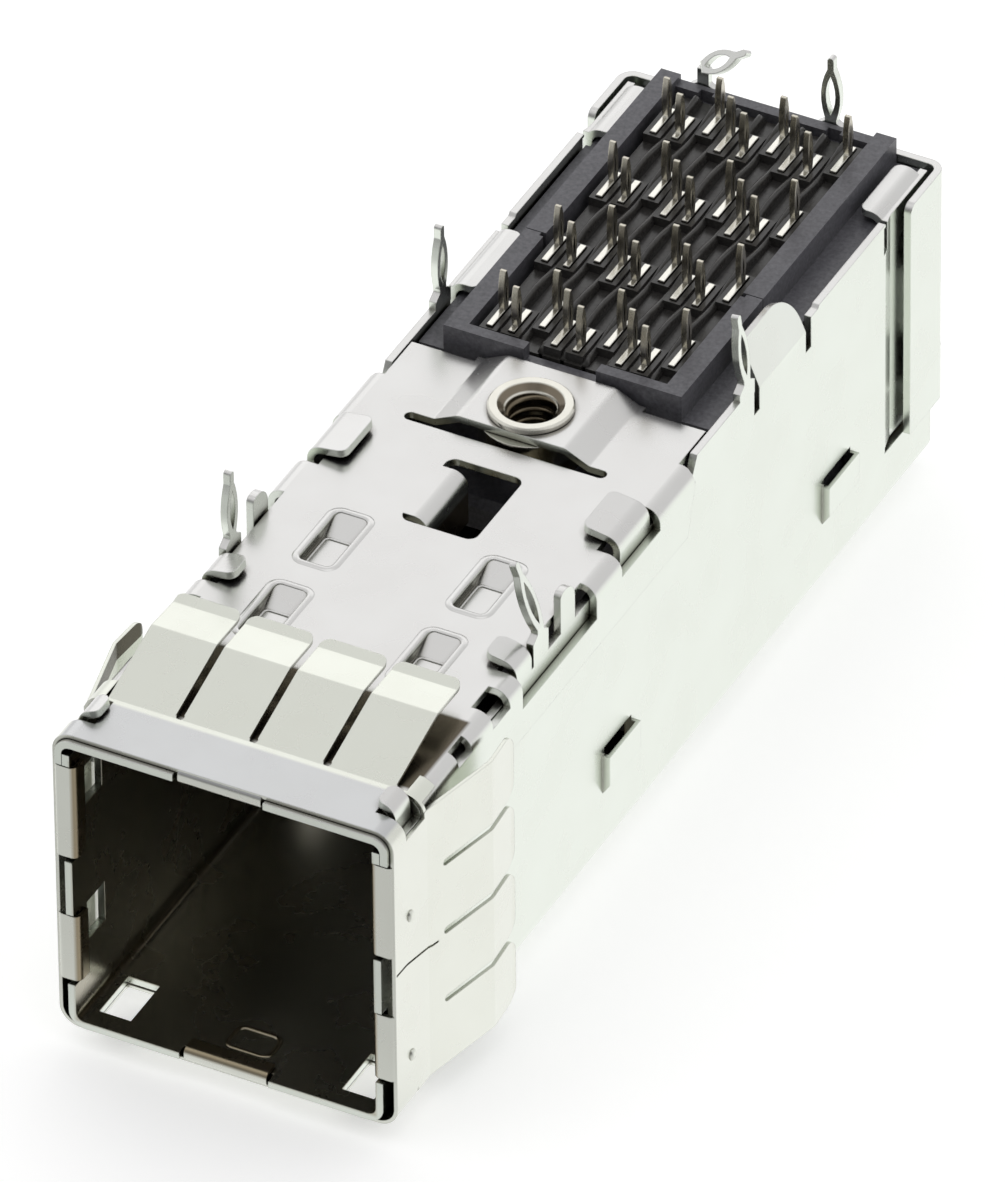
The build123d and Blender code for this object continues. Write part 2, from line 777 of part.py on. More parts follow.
# Front housing: lower block, frame with rails, and the nose with its two card slots
frame_top_z = plate_z + frame_rise
ledge_z = plate_z - housing_ledge
block_z = far_z + sheet + housing_gap
floor_z = block_z + housing_floor
block_half = wall_inner - housing_gap
frame_mid = (frame_right - frame_left) / 2
cavity_half = (frame_left + frame_right) / 2 - rail


# Lower block and frame of a housing between two distances, with room for the wafers
def housing_shell(start, end, half, cavity_start, cavity_end):
    middle = along((start + end) / 2)
    with BuildPart() as shell:
        with BuildSketch(Plane.XY.offset(block_z)):
            with Locations((0, middle)):
                Rectangle(2 * half, end - start)
        extrude(amount=ledge_z - block_z)
        with BuildSketch(Plane.XY.offset(ledge_z)):
            with Locations((frame_mid, middle)):
                Rectangle(frame_left + frame_right, end - start)
        extrude(amount=frame_top_z - ledge_z)
        with BuildSketch(Plane.XY.offset(floor_z)):
            with Locations((frame_mid, along((cavity_start + cavity_end) / 2))):
                Rectangle(2 * cavity_half, cavity_end - cavity_start)
        extrude(amount=frame_top_z - floor_z, mode=Mode.SUBTRACT)
        chamfer(shell.faces().sort_by(Axis.Z)[0].edges().filter_by(Axis.Y), corner)
    return shell.part


with BuildPart() as front_housing:
    front_end_at = housing_seam_at - housing_seam / 2
    add(housing_shell(housing_front_at, front_end_at, block_half, housing_front_at + front_wall, front_end_at))
    with BuildSketch(Plane.XY.offset(plate_z - nose_bottom)):
        with Locations((0, along((nose_front_at + housing_front_at) / 2))):
            Rectangle(2 * nose_half, housing_front_at - nose_front_at)
    extrude(amount=nose_bottom - nose_top)
    chamfer(front_housing.faces().sort_by(Axis.Y)[0].edges(), nose_round)
    # Lower part of the front wall's top edge
    gap_mid = sum(front_gap) / 2
    with Locations((gap_mid, along(housing_front_at), frame_top_z)):
        Box(front_gap[1] - front_gap[0], 4 * front_wall, 2 * front_gap_drop, mode=Mode.SUBTRACT)
    # Card slots, and the grooves that the contact beams lie in
    for drop in card_drops:
        with Locations((0, along(nose_front_at), plate_z - drop)):
            Box(2 * card_half, 2 * card_depth, card_slot, mode=Mode.SUBTRACT)
        groove_end_at = housing_front_at + 2 * front_wall
        with Locations((0, along((groove_start_at + groove_end_at) / 2), plate_z - drop)):
            with GridLocations(column_pitch, 1, column_count, 1):
                Box(groove_width, groove_end_at - groove_start_at, 2 * groove_half, mode=Mode.SUBTRACT)
    # Notches inside the rails at the seam
    for side in (-1, 1):
        with Locations((frame_mid + side * cavity_half, along(front_end_at), frame_top_z)):
            Box(seam_notch, seam_notch, 2 * frame_rise, mode=Mode.SUBTRACT)
front_housing.part.label = "front_housing"

# Rear housing: closes the frame behind the last row of contacts
with BuildPart() as rear_housing:
    rear_start_at = housing_seam_at + housing_seam / 2
    add(housing_shell(rear_start_at, housing_rear_at, block_half, rear_start_at, housing_rear_at - rear_wall))
    # Narrower behind the joggle of the side walls
    for side in (-1, 1):
        with Locations((side * block_half, along(housing_rear_at), (block_z + plate_z) / 2)):
            Box(2 * joggle_depth, 2 * (housing_rear_at - joggle_at), body_height, mode=Mode.SUBTRACT)
    with Locations((frame_mid, along(housing_rear_at), frame_top_z)):
        Box(2 * cavity_half, 4 * rear_wall, 2 * rear_wall_drop, mode=Mode.SUBTRACT)
    # Recesses in the rear wall, in front of the two rear pins
    for pin_x in (bent_pin_x, rear_pin_x):
        with Locations((pin_x + seam_notch, along(housing_rear_at - rear_wall), frame_top_z)):
            Box(rear_recess_width, rear_wall, 2 * frame_rise, mode=Mode.SUBTRACT)
rear_housing.part.label = "rear_housing"


# Level of the mating beam for each row, nearest row on top
def beam_level(row):
    return plate_z - card_drops[row // 2] + (beam_offset if row % 2 == 0 else -beam_offset)


# Line of a contact leg: down from the shoulder, then forwards to the nose
def leg_line(row):
    leg_y = along(first_row_at + row * row_pitch) + leg_offset
    return (
        (leg_y, plate_z + shoulder_rise),
        (leg_y, beam_level(row) + leg_bevel),
        (leg_y - leg_bevel, beam_level(row)),
        (along(housing_front_at), beam_level(row)),
    )


# Ends of a contact's shoulder, with the needle and the dot on its other side
def shoulder_ends(row, kind):
    offset, length, needle = contact_kinds[kind]
    shoulder_y = along(first_row_at + row * row_pitch) + offset
    needle_y = shoulder_y + needle
    dot = needle_half + dot_length
    low = min(shoulder_y - length / 2, needle_y - dot)
    high = max(shoulder_y + length / 2, needle_y + dot)
    return low, high, needle_y


# A contact: needle, shoulder, leg, and a beam that dips into the card slot
def contact(column, row):
    low, high, needle_y = shoulder_ends(row, column % len(contact_kinds))
    level = beam_level(row)
    into = -1 if row % 2 == 0 else 1
    with BuildPart() as blank:
        with BuildSketch(side_plane(column_x[column])):
            with BuildLine():
                Polyline(*leg_line(row))
            trace(line_width=leg_width)
            with BuildLine():
                Polyline(
                    (along(housing_front_at), level),
                    (along(beam_rise_at), level),
                    (along(beam_crown_at), level + into * beam_dip),
                    (along(beam_tip_at), level),
                )
            trace(line_width=beam_width)
            with BuildLine():
                Polyline(
                    (low, plate_z + wafer_rise + seam),
                    (high, plate_z + wafer_rise + seam),
                    (high, plate_z + shoulder_rise),
                    (low, plate_z + shoulder_rise),
                    close=True,
                )
            make_face()
            # The needle swells from its neck to the middle and has a narrow eye
            neck_z = plate_z + shoulder_rise
            with BuildLine():
                Line((needle_y - needle_neck_half, neck_z), (needle_y + needle_neck_half, neck_z))
                for side in (-1, 1):
                    ThreePointArc(
                        (needle_y + side * needle_neck_half, neck_z),
                        (needle_y + side * needle_half, plate_z + needle_mid),
                        (needle_y + side * needle_tip_half, plate_z + needle_tip),
                    )
                Line(
                    (needle_y - needle_tip_half, plate_z + needle_tip),
                    (needle_y + needle_tip_half, plate_z + needle_tip),
                )
            make_face()
            eye_mid = (needle_eye_low + needle_eye_high) / 2
            with BuildLine():
                for side in (-1, 1):
                    ThreePointArc(
                        (needle_y, plate_z + needle_eye_low),
                        (needle_y + side * needle_eye / 2, plate_z + eye_mid),
                        (needle_y, plate_z + needle_eye_high),
                    )
            make_face(mode=Mode.SUBTRACT)
        extrude(amount=contact_sheet / 2, both=True)
    return blank.part


# A wafer: a thin moulding with a narrow slot for each of its contacts
def wafer(column):
    x = column_x[column]
    back = Plane.YZ.offset(x - contact_sheet / 2 - wafer_back)
    depth = contact_sheet + 2 * wafer_back
    wafer_start = along(housing_front_at + front_wall) + wafer_room
    wafer_end = along(housing_rear_at - rear_wall) - wafer_room
    with BuildPart() as moulding:
        with BuildSketch(back):
            with BuildLine():
                Polyline(
                    (wafer_start, floor_z + wafer_room),
                    (wafer_end, floor_z + wafer_room),
                    (wafer_end, plate_z + wafer_rise),
                    (wafer_start, plate_z + wafer_rise),
                    close=True,
                )
            make_face()
        extrude(amount=depth)
        with BuildSketch(back):
            for row in range(row_count):
                low, high, needle_y = shoulder_ends(row, column % len(contact_kinds))
                with Locations(((low + high) / 2, plate_z + boss_rise / 2)):
                    Rectangle(high - low + 2 * boss_edge, boss_rise)
        extrude(amount=depth)
        with BuildSketch(side_plane(x)):
            for row in range(row_count):
                with BuildLine():
                    Polyline(*leg_line(row))
                trace(line_width=leg_width + 2 * contact_room)
                low, high, needle_y = shoulder_ends(row, column % len(contact_kinds))
                with Locations(((low + high) / 2, plate_z + wafer_rise + boss_rise / 2)):
                    Rectangle(high - low + 2 * contact_room, boss_rise)
        extrude(amount=contact_sheet / 2 + contact_room, both=True, mode=Mode.SUBTRACT)
    return moulding.part


os.makedirs("parts", exist_ok=True)
for piece in (cage_body, board_plate, rear_cover, threaded_nut, emi_gasket, front_housing, rear_housing):
    export_step(piece.part, "parts/" + piece.part.label + ".step")
for column in range(column_count):
    name = "wafer_" + str(column + 1)
    moulding = wafer(column)
    moulding.label = name
    export_step(moulding, "parts/" + name + ".step")
    for row in range(row_count):
        name = "contact_" + str(row + 1) + "_" + str(column + 1)
        blade = contact(column, row)
        blade.label = name
        export_step(blade, "parts/" + name + ".step")
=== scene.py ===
import json
import math

import bmesh
import bpy
import numpy as np
from mathutils import Matrix, Vector


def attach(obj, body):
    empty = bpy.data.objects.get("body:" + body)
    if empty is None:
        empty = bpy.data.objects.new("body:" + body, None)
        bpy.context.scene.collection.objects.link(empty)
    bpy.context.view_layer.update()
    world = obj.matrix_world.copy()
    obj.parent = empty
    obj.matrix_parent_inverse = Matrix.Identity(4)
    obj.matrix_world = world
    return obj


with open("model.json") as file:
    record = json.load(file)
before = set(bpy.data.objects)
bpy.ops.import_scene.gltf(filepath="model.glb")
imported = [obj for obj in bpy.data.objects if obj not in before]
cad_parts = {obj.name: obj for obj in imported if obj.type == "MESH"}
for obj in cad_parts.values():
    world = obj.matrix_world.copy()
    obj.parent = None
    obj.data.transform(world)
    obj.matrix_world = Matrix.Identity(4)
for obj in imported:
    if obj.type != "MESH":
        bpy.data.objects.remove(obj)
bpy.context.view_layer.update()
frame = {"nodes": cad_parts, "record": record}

mm = 0.001


def srgb(hexText):  # sRGB hex to Blender's linear colour
    parts = [int(hexText[k:k + 2], 16) / 255 for k in (1, 3, 5)]
    linear = [c / 12.92 if c <= 0.04045 else ((c + 0.055) / 1.055) ** 2.4 for c in parts]
    return (*linear, 1.0)


def addNode(tree, kind, settings=None, inputs=None):  # one node with its settings, values and links
    node = tree.nodes.new(kind)
    for name, value in (settings or {}).items():
        setattr(node, name, value)
    for name, value in (inputs or {}).items():
        socket = node.inputs[name]
        if isinstance(value, bpy.types.NodeSocket):
            tree.links.new(value, socket)
        else:
            socket.default_value = value
    return node


def newMaterial(name):  # an empty material and its node tree
    made = bpy.data.materials.new(name)
    made.use_nodes = True
    made.node_tree.nodes.clear()
    return made, made.node_tree


# A value carried from one range to another and held at both ends
def remap(tree, value, source, target=(0.0, 1.0), curve="LINEAR"):
    return addNode(tree, "ShaderNodeMapRange", {"interpolation_type": curve}, {
        "Value": value, "From Min": source[0], "From Max": source[1],
        "To Min": target[0], "To Max": target[1]}).outputs["Result"]


def compute(tree, operation, first, second=0.0):  # a product or comparison of two values
    return addNode(tree, "ShaderNodeMath", {"operation": operation}, {
        0: first, 1: second}).outputs["Value"]


# The same for two vectors, where a length or a dot product comes out as a value
def computeVector(tree, operation, first, second=(0, 0, 0), result="Vector"):
    return addNode(tree, "ShaderNodeVectorMath", {"operation": operation}, {
        0: first, 1: second}).outputs[result]


def mixColour(tree, factor, first, second, blend="MIX"):  # colour of a mix node
    return addNode(tree, "ShaderNodeMix", {"data_type": "RGBA", "blend_type": blend}, {
        "Factor": factor, "A": first, "B": second}).outputs["Result"]


# The photograph's camera, fitted to known points of the cage: angles in degrees, lengths in mm,
# the picture's own values in its pixels
cameraSet = {
    "azimuth": 27.56, "elevation": 37.86, "roll": 0.594, "distance": 618.91,
    "target": (0.0, 0.348, 6.918), "focalPixels": 19924.5,
    "centrePixel": (515.2, 567.0), "imageSize": (1005, 1182), "sensor": 36.0,
    "nearest": 10.0, "farthest": 20000.0,
}


def makeCamera(c):
    az, el, roll = (math.radians(c[k]) for k in ("azimuth", "elevation", "roll"))
    back = Vector((math.sin(az) * math.cos(el), -math.cos(az) * math.cos(el), math.sin(el)))
    right = Vector((math.cos(az), math.sin(az), 0.0))
    up = back.cross(right)
    imageX = right * math.cos(roll) - up * math.sin(roll)
    imageY = right * math.sin(roll) + up * math.cos(roll)
    spot = (Vector(c["target"]) + back * c["distance"]) * mm
    data = bpy.data.cameras.new("photoCamera")
    width, height = c["imageSize"]
    data.sensor_fit = "VERTICAL"
    data.sensor_height = c["sensor"]
    data.lens = c["focalPixels"] * c["sensor"] / height
    data.shift_x = (width / 2 - c["centrePixel"][0]) / height
    data.shift_y = (c["centrePixel"][1] - height / 2) / height
    data.clip_start = c["nearest"] * mm
    data.clip_end = c["farthest"] * mm
    camera = bpy.data.objects.new("photoCamera", data)
    bpy.context.scene.collection.objects.link(camera)
    camera.matrix_world = Matrix((
        (imageX.x, imageY.x, back.x, spot.x),
        (imageX.y, imageY.y, back.y, spot.y),
        (imageX.z, imageY.z, back.z, spot.z),
        (0, 0, 0, 1)))
    bpy.context.scene.camera = camera


makeCamera(cameraSet)
print("camera ready")

# Tin-plated copper alloy sheet, matt as plated: the eye gets a pale, soft sheen with faint
# rolling lines. Painted shade darkens the sheet's inner side, the cavity, the creases, the sheet
# under the fingers and up-facing faces on the board side. Boxes hold ranges of |x|, y and z.
tinSheet = {
    "base": "#e2e7de", "worn": "#d4d6cb", "wornRange": (0.35, 0.75), "wornShare": 0.2,
    "roughness": 0.27, "roughnessSpread": 0.015, "roughRange": (0.3, 0.7),
    "cloudMm": 2.6, "cloudDetail": 4.0, "cloudRoughness": 0.55,
    "rollMm": 0.18, "rollStretch": (1.0, 0.06, 1.0), "rollDetail": 2.0,
    "rollStrength": 0.25, "rollDepthMm": 0.0008, "edgeMm": 0.05, "edgeSamples": 4,
    "zoneFadeMm": 0.06, "ringFadeMm": 0.02,
    # Painted shade, darker and cooler, on faces of the board side that look up: the range is the
    # height of the face's direction
    "upperShade": "#f3edf5", "upperBox": ((-1, 6), (-20, 20), (11.3, 16)), "upperRange": (0.25, 0.6),
    # Painted shadow on the sheet under the spring fingers
    "shaded": "#5d564a", "shadedBoxes": (((-1, 5.25), (-16.5, -12.8), (11.6, 12.1)),),
    # Painted shade on inner faces at the top: the range is the cosine between the way out and the
    # face's direction
    "innerShade": "#564f43", "inwardRange": (-0.65, -0.75), "inwardHeights": (10.9, 12.5),
    "axisHeight": 6.368, "rearLimit": 15.3,
    # Painted shade all over the cavity inside the cage
    "cavity": "#a3977f", "cavityBox": ((-1, 5.2), (-19.13, 19.0), (1.05, 11.2)),
    # Rings of painted shade about an upright axis: inner radius, outer radius and tone of each
    "ringAxis": (0.0, 1.525, 0.0), "rings": (),
    # Painted shade in the creases, from ambient occlusion: the range is the open share of the half
    # sphere
    "creaseShade": "#6d665a", "creaseMm": 0.45, "creaseSamples": 8, "creaseRange": (0.85, 0.25),
}


# 1 between two limits given in mm and 0 outside them, with a short fade
def between(tree, value, low, high, fadeMm):
    sides = [remap(tree, value, ((limit - step) * mm, (limit + step) * mm))
             for limit, step in ((low, fadeMm), (high, -fadeMm))]
    return compute(tree, "MULTIPLY", *sides)


def zoneMask(tree, split, box, fadeMm):  # 1 inside a box; x counts to either side
    aside = compute(tree, "ABSOLUTE", split["X"])
    across, along, upright = (
        between(tree, value, low, high, fadeMm)
        for value, (low, high) in zip((aside, split["Y"], split["Z"]), box))
    return compute(tree, "MULTIPLY", compute(tree, "MULTIPLY", across, along), upright)


# 1 where a face looks at the cage's long middle line: the way out, square to that line, runs
# against the face's direction. It holds between two heights only.
def inwardMask(tree, place, split, facing, c):
    fromAxis = computeVector(tree, "SUBTRACT", place, (0, 0, c["axisHeight"] * mm))
    outward = computeVector(
        tree, "NORMALIZE", computeVector(tree, "MULTIPLY", fromAxis, (1, 0, 1)))
    mask = remap(
        tree, computeVector(tree, "DOT_PRODUCT", outward, facing, "Value"), c["inwardRange"])
    low, high = c["inwardHeights"]
    for operation, limit in (("GREATER_THAN", low), ("LESS_THAN", high)):
        mask = compute(
            tree, "MULTIPLY", mask, compute(tree, operation, split["Z"], limit * mm))
    return mask


def ringMask(tree, place, axis, radii, fadeMm):  # 1 between two radii about an upright axis
    fromAxis = computeVector(tree, "SUBTRACT", place, [value * mm for value in axis])
    flat = computeVector(tree, "MULTIPLY", fromAxis, (1, 1, 0))
    return between(tree, computeVector(tree, "LENGTH", flat, result="Value"), *radii, fadeMm)


def makeSheetMetal(name, c):
    made, tree = newMaterial(name)
    place = addNode(tree, "ShaderNodeTexCoord").outputs["Object"]
    split = addNode(tree, "ShaderNodeSeparateXYZ", {}, {"Vector": place}).outputs
    facing = addNode(tree, "ShaderNodeNewGeometry").outputs["True Normal"]
    clouds = addNode(tree, "ShaderNodeTexNoise", {}, {
        "Vector": place, "Scale": 1 / (c["cloudMm"] * mm), "Detail": c["cloudDetail"],
        "Roughness": c["cloudRoughness"]}).outputs["Fac"]
    along = addNode(tree, "ShaderNodeMapping", {}, {
        "Vector": place, "Scale": c["rollStretch"]}).outputs["Vector"]
    rolling = addNode(tree, "ShaderNodeTexNoise", {}, {
        "Vector": along, "Scale": 1 / (c["rollMm"] * mm),
        "Detail": c["rollDetail"]}).outputs["Fac"]
    edge = addNode(tree, "ShaderNodeBevel", {"samples": c["edgeSamples"]}, {
        "Radius": c["edgeMm"] * mm}).outputs["Normal"]
    bump = addNode(tree, "ShaderNodeBump", {}, {
        "Height": rolling, "Strength": c["rollStrength"],
        "Distance": c["rollDepthMm"] * mm, "Normal": edge}).outputs["Normal"]
    rough = remap(tree, clouds, c["roughRange"], (
        c["roughness"] - c["roughnessSpread"], c["roughness"] + c["roughnessSpread"]))
    wear = remap(tree, clouds, c["wornRange"], (0.0, c["wornShare"]))
    tint = mixColour(tree, wear, srgb(c["base"]), srgb(c["worn"]))
    # Painted shade: a cooler, darker tone on up-facing faces of the board side, then a painted
    # shadow on the sheet under the fingers
    upperShade = zoneMask(tree, split, c["upperBox"], c["zoneFadeMm"])
    height = addNode(tree, "ShaderNodeSeparateXYZ", {}, {"Vector": facing}).outputs["Z"]
    upperShade = compute(tree, "MULTIPLY", upperShade, remap(tree, height, c["upperRange"]))
    tint = mixColour(tree, upperShade, tint, srgb(c["upperShade"]), "MULTIPLY")
    for box in c["shadedBoxes"]:
        fingerShadow = zoneMask(tree, split, box, c["zoneFadeMm"])
        tint = mixColour(tree, fingerShadow, tint, srgb(c["shaded"]))
    # Painted shade inside: on inner faces as far back as the rear limit at the top, and all over
    # the cavity
    inFront = compute(tree, "LESS_THAN", split["Y"], c["rearLimit"] * mm)
    innerShade = compute(tree, "MULTIPLY", inwardMask(tree, place, split, facing, c), inFront)
    tint = mixColour(tree, innerShade, tint, srgb(c["innerShade"]))
    cavity = zoneMask(tree, split, c["cavityBox"], c["zoneFadeMm"])
    tint = mixColour(tree, cavity, tint, srgb(c["cavity"]))
    # Painted shade in rings about the ring axis, such as the nut's dark bore and darker step
    for inner, outer, shadeTone in c["rings"]:
        onShadeRing = ringMask(tree, place, c["ringAxis"], (inner, outer), c["ringFadeMm"])
        tint = mixColour(tree, onShadeRing, tint, srgb(shadeTone))
    # Painted shade in the creases, as far back as the same rear limit
    openness = addNode(tree, "ShaderNodeAmbientOcclusion", {"samples": c["creaseSamples"]}, {
        "Distance": c["creaseMm"] * mm}).outputs["AO"]
    creaseShade = compute(tree, "MULTIPLY", remap(tree, openness, c["creaseRange"]), inFront)
    tint = mixColour(tree, creaseShade, tint, srgb(c["creaseShade"]), "MULTIPLY")
    shader = addNode(tree, "ShaderNodeBsdfPrincipled", {}, {
        "Base Color": tint, "Metallic": 1.0, "Roughness": rough, "Normal": bump})
    addNode(tree, "ShaderNodeOutputMaterial", {}, {"Surface": shader.outputs["BSDF"]})
    return made


# Glass-filled moulding resin, black: the eye gets a low sheen, broken up by fine paler grain
mouldedBlack = {
    "base": "#2c2c30", "fibre": "#706f75", "roughness": 0.36, "grainMm": 0.13, "grainDetail": 3.0,
    "grainRoughness": 0.6, "grainStrength": 0.3, "grainDepthMm": 0.016,
}


def makeMoulding(name, c):
    made, tree = newMaterial(name)
    place = addNode(tree, "ShaderNodeTexCoord").outputs["Object"]
    grain = addNode(tree, "ShaderNodeTexNoise", {}, {
        "Vector": place, "Scale": 1 / (c["grainMm"] * mm), "Detail": c["grainDetail"],
        "Roughness": c["grainRoughness"]}).outputs["Fac"]
    bump = addNode(tree, "ShaderNodeBump", {}, {
        "Height": grain, "Strength": c["grainStrength"],
        "Distance": c["grainDepthMm"] * mm}).outputs["Normal"]
    shader = addNode(tree, "ShaderNodeBsdfPrincipled", {}, {
        "Base Color": mixColour(tree, grain, srgb(c["base"]), srgb(c["fibre"])),
        "Roughness": c["roughness"], "Normal": bump})
    addNode(tree, "ShaderNodeOutputMaterial", {}, {"Surface": shader.outputs["BSDF"]})
    return made


# Plated spring strip: a touch warmer than the cage, with painted shade, cooler and darker, on the
# up-facing faces of its band in front of the fingers, so the eye parts the two sheets
springSheet = dict(
    tinSheet, base="#e1e3da", worn="#d3d3c8", cloudMm=1.8, upperShade="#e1e0ea",
    upperBox=((-1, 5.6), (-19.2, -17.0), (11.9, 12.6)), shadedBoxes=())
# Turned and plated steel: a sharper sheen, with painted shade in rings: a dark bore and a
# darker step round it
nutSteel = dict(
    tinSheet, base="#dddbd2", worn="#c4c0b4", roughness=0.2, cloudMm=0.9, upperShade="#ffffff",
    rings=((-0.1, 0.81, "#6e6555"), (0.86, 1.05, "#7b7264")))
# Stamped and tinned contact strip: bright narrow glints, and painted shade, greyer, on the
# needles above the board side in place of their dark reflections. The range lies below every
# direction's height, so it takes all faces in.
contactTin = dict(
    tinSheet, base="#eceae2", worn="#cfcabd", roughness=0.24, cloudMm=0.7, upperShade="#dcd9d2",
    upperBox=((-1, 5), (-20, 20), (12.6, 16)), upperRange=(-2, -1.5))
# Thin moulded plates: darker and a little glossier than the housings
waferBlack = dict(mouldedBlack, base="#1d1c1c", fibre="#444240", roughness=0.27)

finishes = {
    "tinned_sheet": makeSheetMetal("tinPlatedSheet", tinSheet),
    "spring_sheet": makeSheetMetal("platedSpringSheet", springSheet),
    "nut_steel": makeSheetMetal("turnedPlatedNut", nutSteel),
    "contact_metal": makeSheetMetal("stampedContactTin", contactTin),
    "housing_plastic": makeMoulding("glassFilledBlack", mouldedBlack),
    "wafer_plastic": makeMoulding("waferBlack", waferBlack),
}
slotOfNode = {entry["node"]: entry["material_slot"] for entry in frame["record"]["subparts"]}
for node in frame["nodes"]:
    target = bpy.data.objects[node]
    target.data.materials.clear()
    target.data.materials.append(finishes[slotOfNode[node]])
print("materials on", len(slotOfNode), "nodes")


# Skins of ring sequences: each strip is an array (rings, points around, 3) in mm. Neighbouring
# rings are joined with quads; an open strip gets flat ends, a looped one joins its last ring to
# its first.
def placePiece(name, strips, looped, slot):
    points = []
    faces = []
    offset = 0
    for strip in strips:
        rings, around = strip.shape[:2]
        last = rings if looped else rings - 1
        row = np.arange(last)[:, None]
        column = np.arange(around)[None, :]
        following = (row + 1) % rings
        beside = (column + 1) % around
        quads = np.stack([
            row * around + column, row * around + beside,
            following * around + beside, following * around + column], axis=-1).reshape(-1, 4)
        faces += (quads + offset).tolist()
        if not looped:
            faces.append((offset + np.arange(around)[::-1]).tolist())
            faces.append((offset + (rings - 1) * around + np.arange(around)).tolist())
        points.append(strip.reshape(-1, 3))
        offset += rings * around
    mesh = bpy.data.meshes.new(name)
    mesh.from_pydata((np.vstack(points) * mm).tolist(), [], faces)
    work = bmesh.new()
    work.from_mesh(mesh)
    bmesh.ops.recalc_face_normals(work, faces=work.faces)
    work.to_mesh(mesh)
    work.free()
    mesh.shade_smooth()
    piece = bpy.data.objects.new(name, mesh)
    bpy.context.scene.collection.objects.link(piece)
    mesh.materials.append(finishes[slot])
    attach(piece, "root")
    return piece


# Screw thread inside the nut, in mm in the record's frame; wall and crest are radii, the run-out
# is counted in turns
nutThread = {
    "axis": (0.0, 1.525), "top": 12.25, "turns": 3.8, "pitch": 0.4, "wall": 0.83, "crest": 0.67,
    "flankHalf": 0.17, "crestHalf": 0.025, "stepsPerTurn": 40, "runOut": 0.35,
}


# The ridge is a four-sided profile of radius and height, turned about the nut's axis while it
# goes down: x is the radius times the angle's cosine, y the radius times its sine, and z the top
# less one pitch for each turn, plus the height. At both ends the crest sinks into the wall.
def makeThread(name, c):
    steps = int(c["turns"] * c["stepsPerTurn"]) + 1
    turn = np.linspace(0, c["turns"], steps)
    rise = np.clip(np.minimum(turn, c["turns"] - turn) / c["runOut"], 0, 1)
    crest = c["wall"] - (c["wall"] - c["crest"]) * rise
    wall = np.full(steps, c["wall"])
    radius = np.stack([wall, crest, crest, wall], axis=1)
    height = np.array([-c["flankHalf"], -c["crestHalf"], c["crestHalf"], c["flankHalf"]])
    angle = (2 * np.pi * turn)[:, None]
    points = np.stack([
        c["axis"][0] + radius * np.cos(angle),
        c["axis"][1] + radius * np.sin(angle),
        c["top"] - c["pitch"] * turn[:, None] + height[None, :]], axis=-1)
    return placePiece(name, [points.reshape(steps, 4, 3)], False, "nut_steel")


makeThread("nut_thread", nutThread)
print("thread cut")

# Rounded lips of the four pressed pockets, and the embossed mark on the cavity's floor
pocketLip = {
    "centres": ((-2.65, -10.625), (2.65, -10.625), (-2.65, -6.625), (2.65, -6.625)),
    "size": (1.14, 2.62), "round": 0.22, "level": 11.9184, "cornerSteps": 10,
    "profile": ((0.0, -0.16), (0.0, -0.01), (0.03, 0.025), (0.08, 0.04), (0.15, 0.03),
                (0.24, 0.006), (0.28, -0.04), (0.14, -0.08)),
}
pocketSeat = {
    "centres": ((-2.65, -10.93), (2.65, -10.93), (-2.65, -6.93), (2.65, -6.93)),
    "size": (0.86, 1.36), "round": 0.12, "level": 11.5184, "cornerSteps": 8,
    "profile": ((0.0, -0.03), (0.0, 0.02), (0.03, 0.045), (0.07, 0.045), (0.1, 0.02), (0.1, -0.03)),
}
portEmboss = {
    "centres": ((0.2, -17.62),),
    "size": (1.3, 0.85), "round": 0.2, "level": 1.068, "cornerSteps": 10,
    "profile": ((0.0, -0.04), (0.0, 0.01), (0.06, 0.05), (0.13, 0.05), (0.19, 0.01), (0.19, -0.04)),
}


# A bead around a rounded rectangle: every corner arc gives a centre and outward directions, and
# each point of the profile lies at that centre plus the direction times the round plus its way
# out, at the level plus its way up
def makeBead(name, c, slot):
    quarter = np.linspace(0, np.pi / 2, c["cornerSteps"])
    angle = (quarter[None, :] + np.arange(4)[:, None] * np.pi / 2).reshape(-1)
    heading = np.stack([np.cos(angle), np.sin(angle)], axis=1)
    signs = np.repeat(np.array([[1, 1], [-1, 1], [-1, -1], [1, -1]]), c["cornerSteps"], axis=0)
    core = signs * (np.array(c["size"]) / 2 - c["round"])
    out, up = np.array(c["profile"]).T
    flat = core[:, None, :] + heading[:, None, :] * (c["round"] + out[None, :, None])
    level = np.broadcast_to(c["level"] + up, flat.shape[:2])[:, :, None]
    strips = [np.concatenate([flat + np.array(centre), level], axis=2) for centre in c["centres"]]
    return placePiece(name, strips, True, slot)


makeBead("pocket_lips", pocketLip, "tinned_sheet")
makeBead("pocket_seats", pocketSeat, "tinned_sheet")
makeBead("port_emboss", portEmboss, "tinned_sheet")
print("beads pressed")

# Small bumps pressed out of the spring sheet's band on the right: x, y, z and half sizes in mm
bandNubs = {
    "spots": ((5.82, -17.95, 8.3), (5.82, -17.95, 2.88)), "half": (0.14, 0.17, 0.22),
    "steps": 9, "around": 20, "poleGap": 0.04,
}


# Half-sunk ellipsoids: x is its half size times the tilt's cosine, y and z are theirs times the
# tilt's sine and times the cosine and sine of the turn; the pole gap is an angle in radians
def makeNubs(name, c):
    tilt = np.linspace(c["poleGap"], np.pi - c["poleGap"], c["steps"])[:, None]
    turn = np.linspace(0, 2 * np.pi, c["around"], endpoint=False)[None, :]
    ball = np.stack([
        np.cos(tilt) + 0 * turn, np.sin(tilt) * np.cos(turn), np.sin(tilt) * np.sin(turn)], axis=-1)
    strips = [ball * np.array(c["half"]) + np.array(spot) for spot in c["spots"]]
    return placePiece(name, strips, False, "spring_sheet")


makeNubs("band_nubs", bandNubs)

